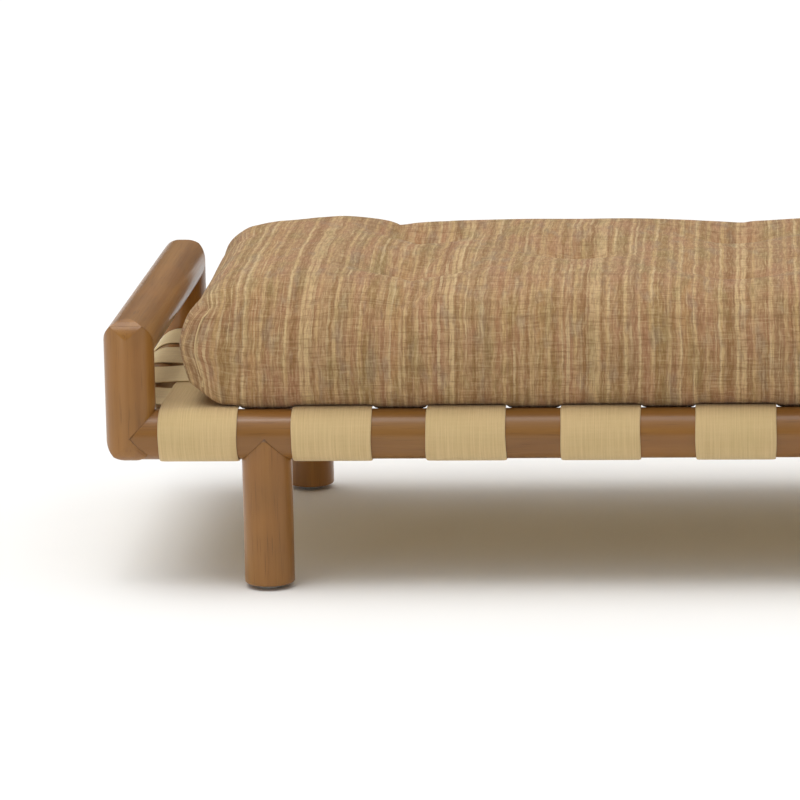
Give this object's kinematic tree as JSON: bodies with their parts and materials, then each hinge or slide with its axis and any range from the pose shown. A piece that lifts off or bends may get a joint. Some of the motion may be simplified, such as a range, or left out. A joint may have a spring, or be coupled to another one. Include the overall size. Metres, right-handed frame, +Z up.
{
  "type": "daybed",
  "caption": "Low daybed with round-bar end loops, side rails and legs, a woven webbing platform and a loose tufted mattress with a striped handwoven cover.",
  "frame": {"origin": "on the floor at the middle of the bed", "axes": "+X along the bed towards the foot, -Y towards the front, +Z up"},
  "size_m": [1.9064, 0.7684, 0.4582],
  "materials": {
    "wood_frame": "polished clear lacquer",
    "dowel_wood": "raw turned",
    "webbing": "plain woven webbing",
    "glide_plastic": "matte moulded",
    "steel_fittings": "zinc plated",
    "tack_steel": "domed, dulled",
    "mattress_fabric": "slubby handwoven stripe",
    "mattress_filling": "cotton batting",
    "twine": "twisted"
  },
  "bodies": {
    "frame": {"head_post_front": "wood_frame", "head_post_back": "wood_frame", "head_top_bar": "wood_frame", "head_end_rail": "wood_frame", "foot_post_front": "wood_frame", "foot_post_back": "wood_frame", "foot_top_bar": "wood_frame", "foot_end_rail": "wood_frame", "side_rail_front": "wood_frame", "side_rail_back": "wood_frame", "leg_head_front": "wood_frame", "leg_head_back": "wood_frame", "leg_foot_front": "wood_frame", "leg_foot_back": "wood_frame", "glide_head_front": "glide_plastic", "glide_head_back": "glide_plastic", "glide_foot_front": "glide_plastic", "glide_foot_back": "glide_plastic", "cross_strap_1": "webbing", "cross_strap_2": "webbing", "cross_strap_3": "webbing", "cross_strap_4": "webbing", "cross_strap_5": "webbing", "cross_strap_6": "webbing", "cross_strap_7": "webbing", "cross_strap_8": "webbing", "cross_strap_9": "webbing", "long_strap_1": "webbing", "long_strap_2": "webbing", "long_strap_3": "webbing", "long_strap_4": "webbing", "mitre_dowels": "dowel_wood", "rail_bolts": "steel_fittings", "barrel_nuts": "steel_fittings", "leg_studs": "steel_fittings", "glide_nails": "steel_fittings", "cross_tacks": "tack_steel", "long_tacks": "tack_steel"},
    "mattress": {"mattress_cover": "mattress_fabric", "mattress_core": "mattress_filling", "tuft_ties": "twine"}
  },
  "joints": [
    {"name": "mattress_lift", "type": "slide", "parent": "frame", "child": "mattress", "axis": [0, 0, 1], "range_m": [0, 0.2]}
  ]
}
